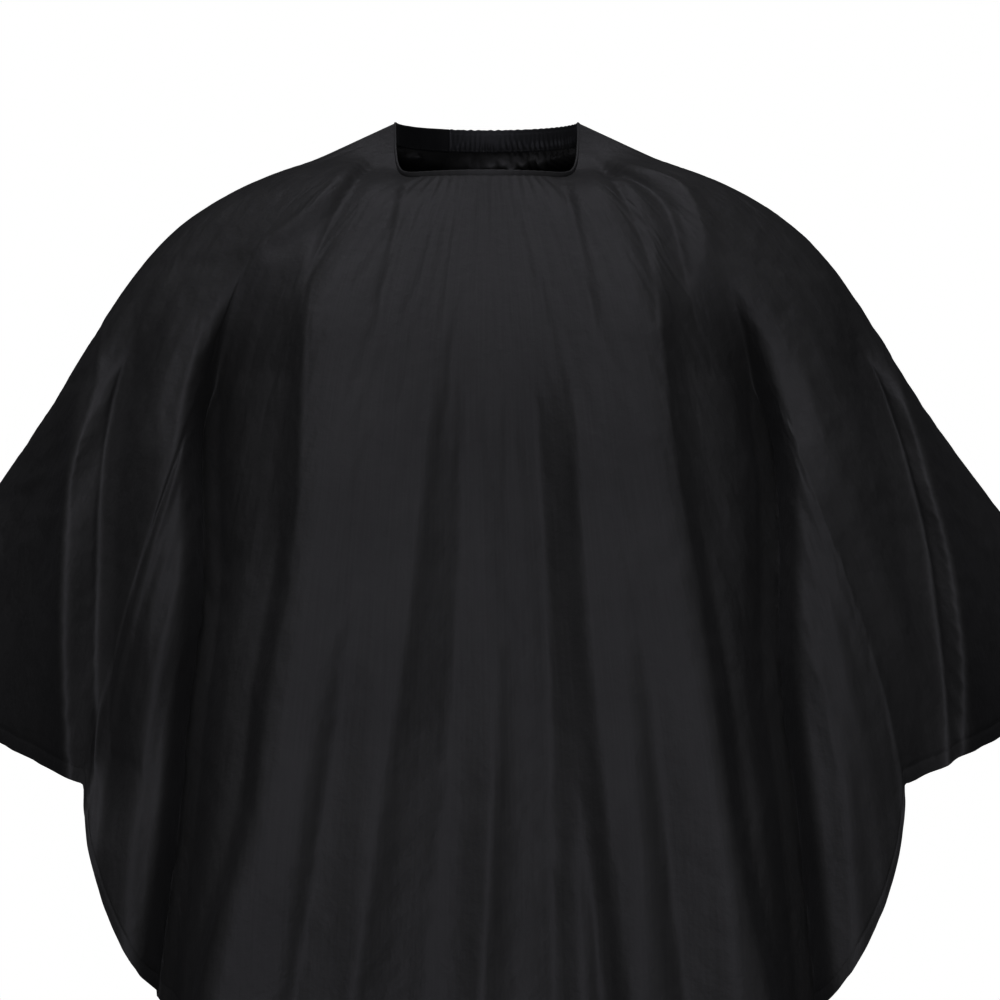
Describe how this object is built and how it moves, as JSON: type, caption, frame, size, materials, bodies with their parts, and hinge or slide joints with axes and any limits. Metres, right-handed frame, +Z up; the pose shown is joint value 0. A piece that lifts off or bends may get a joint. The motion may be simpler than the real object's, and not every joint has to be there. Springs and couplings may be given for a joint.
{
  "type": "barber cape",
  "caption": "Haircutting cape: one wide polyester panel with an elasticated neck band that closes behind the neck with a touch-and-close tab.",
  "frame": {"origin": "centre of the neck opening, level with the top edge of the neck band", "axes": "+Z up, +X to the viewer's right as the cape is seen from the front, -Y towards the front of the wearer"},
  "size_m": [0.9406, 0.353, 0.7635],
  "materials": {
    "black_polyester": "satin, water-repellent plain weave",
    "band_polyester": "satin, folded double",
    "binding_tape": "satin, folded bias binding",
    "black_thread": "spun polyester thread",
    "interlining": "matte non-woven",
    "elastic": "braided elastic, matte",
    "loop_pile": "soft looped pile",
    "nylon_hooks": "moulded nylon hooks",
    "label_satin": "blank black satin ribbon"
  },
  "bodies": {
    "cape": {"cape_panel": "black_polyester", "hem_stitching": "black_thread", "slit_bar_tack": "black_thread", "care_label": "label_satin", "care_label_stitching": "black_thread", "front_neck_binding": "binding_tape", "front_binding_stitching": "black_thread", "left_band_end": "band_polyester", "left_band_interlining": "interlining", "loop_tape": "loop_pile", "loop_tape_stitching": "black_thread", "elastic_casing": "band_polyester", "neck_elastic": "elastic", "elastic_end_tacks": "black_thread", "band_seam_stitching": "black_thread", "closure_tab_sewn_end": "band_polyester", "sewn_end_stitching": "black_thread"},
    "tab": {"closure_tab": "band_polyester", "tab_interlining": "interlining", "hook_tape": "nylon_hooks", "hook_tape_stitching": "black_thread"}
  },
  "joints": [
    {"name": "closure_tab_peel", "type": "hinge", "parent": "cape", "child": "tab", "pos_m": [-0.03056, 0.06816, -0.009], "axis": [0, 0, -1], "range_deg": [0, 100]}
  ]
}
